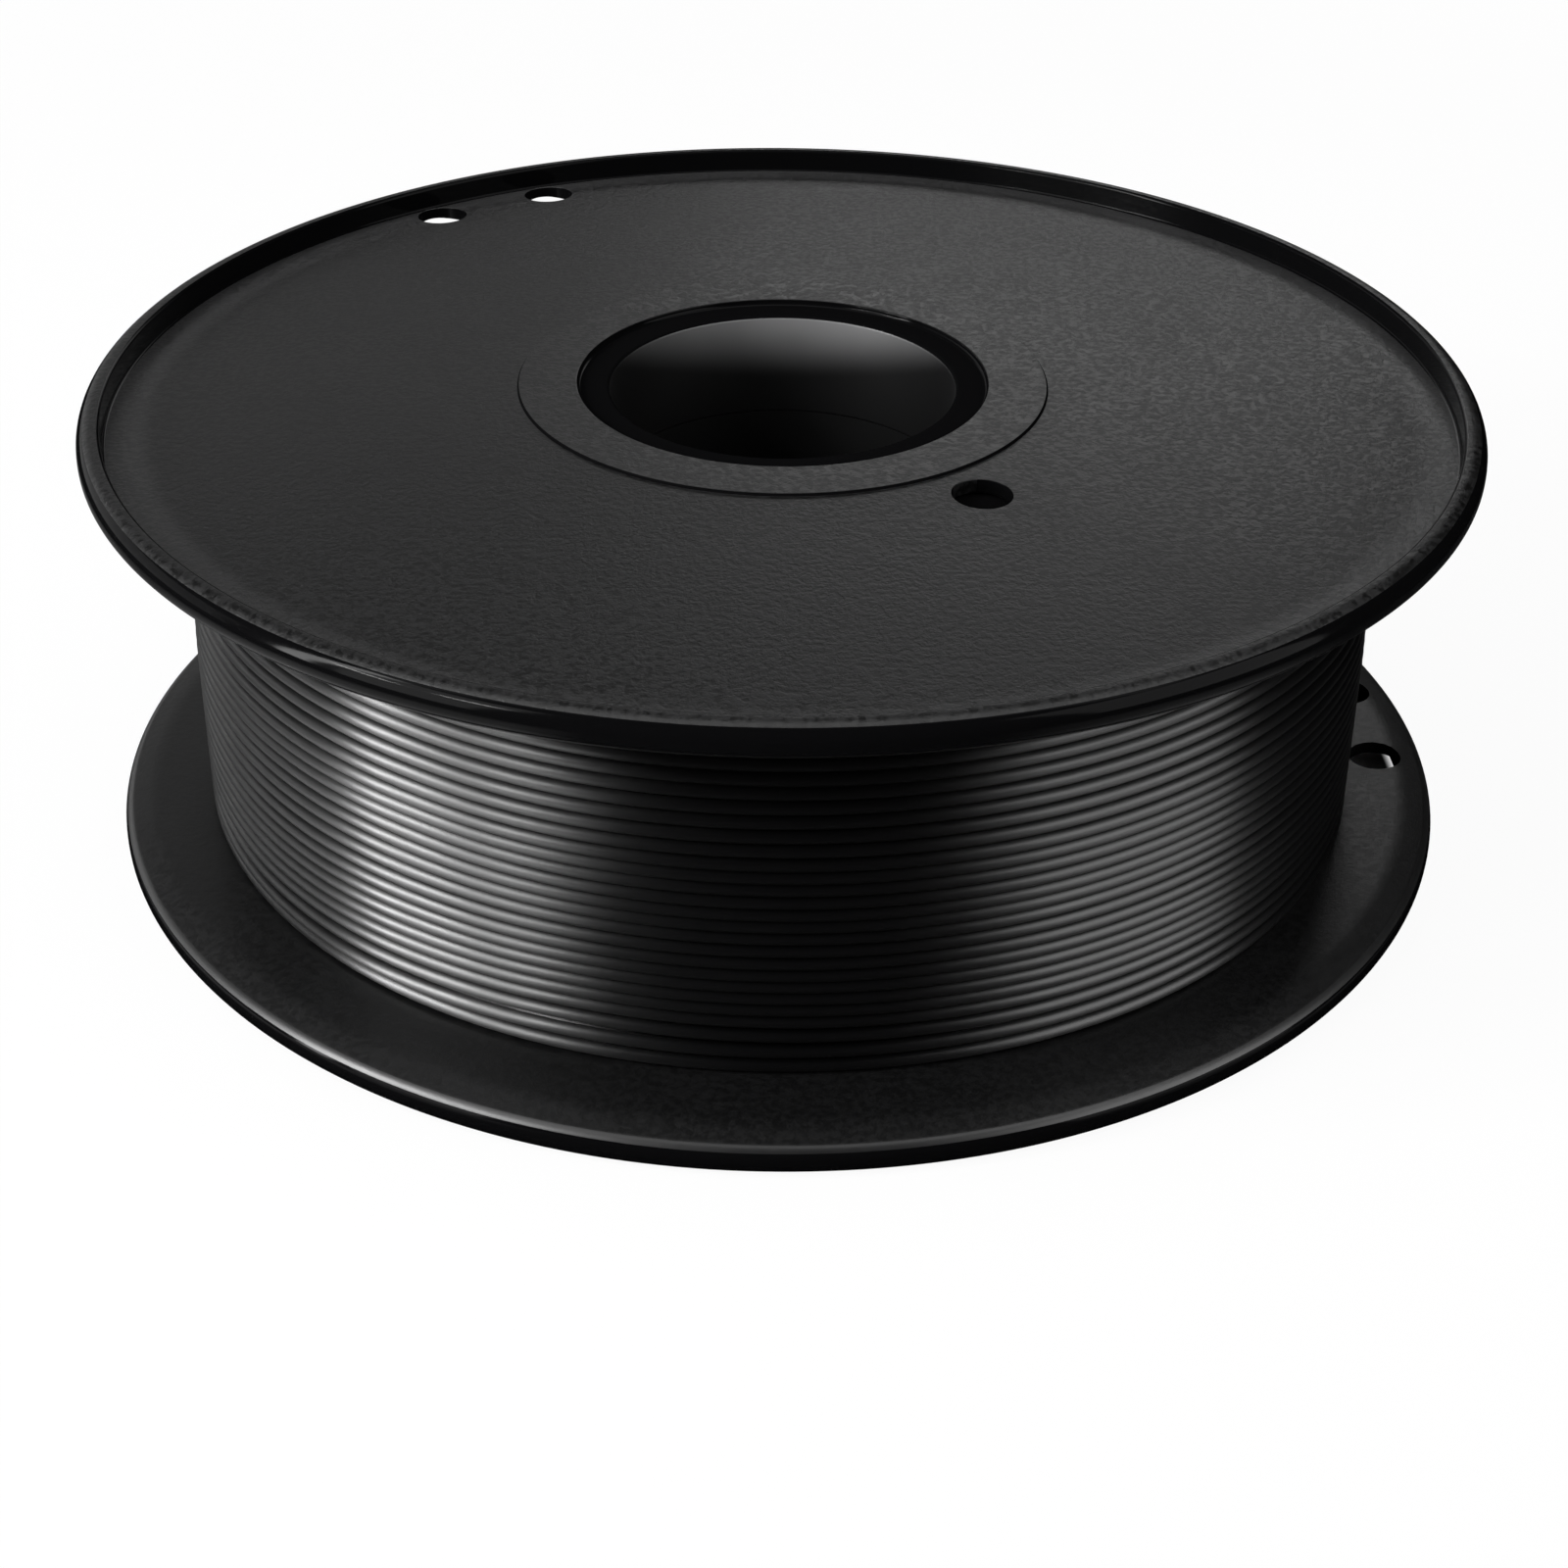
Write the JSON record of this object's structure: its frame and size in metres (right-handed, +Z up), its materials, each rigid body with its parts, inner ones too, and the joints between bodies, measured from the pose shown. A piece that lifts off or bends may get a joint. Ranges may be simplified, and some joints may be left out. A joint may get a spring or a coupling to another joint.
{
  "type": "filament spool",
  "caption": "Full spool of 3-D printer filament: two coned flanges with raised rims on a ribbed hub with a through bore, wound with plastic filament.",
  "frame": {"origin": "on the spool's axis, in the plane that the lower rim stands on", "axes": "+Z up along the bore axis, +X to the right and +Y away from the viewer in the picture"},
  "size_m": [0.2, 0.2, 0.0664],
  "materials": {
    "flange_plastic": "spark-eroded texture on the web, polished rim",
    "hub_plastic": "as moulded",
    "filament": "glossy extruded filament"
  },
  "bodies": {
    "root": {"lower_flange": "flange_plastic", "upper_flange": "flange_plastic", "hub": "hub_plastic", "filament_inner_layers": "filament", "filament_outer_layer": "filament"}
  },
  "joints": []
}
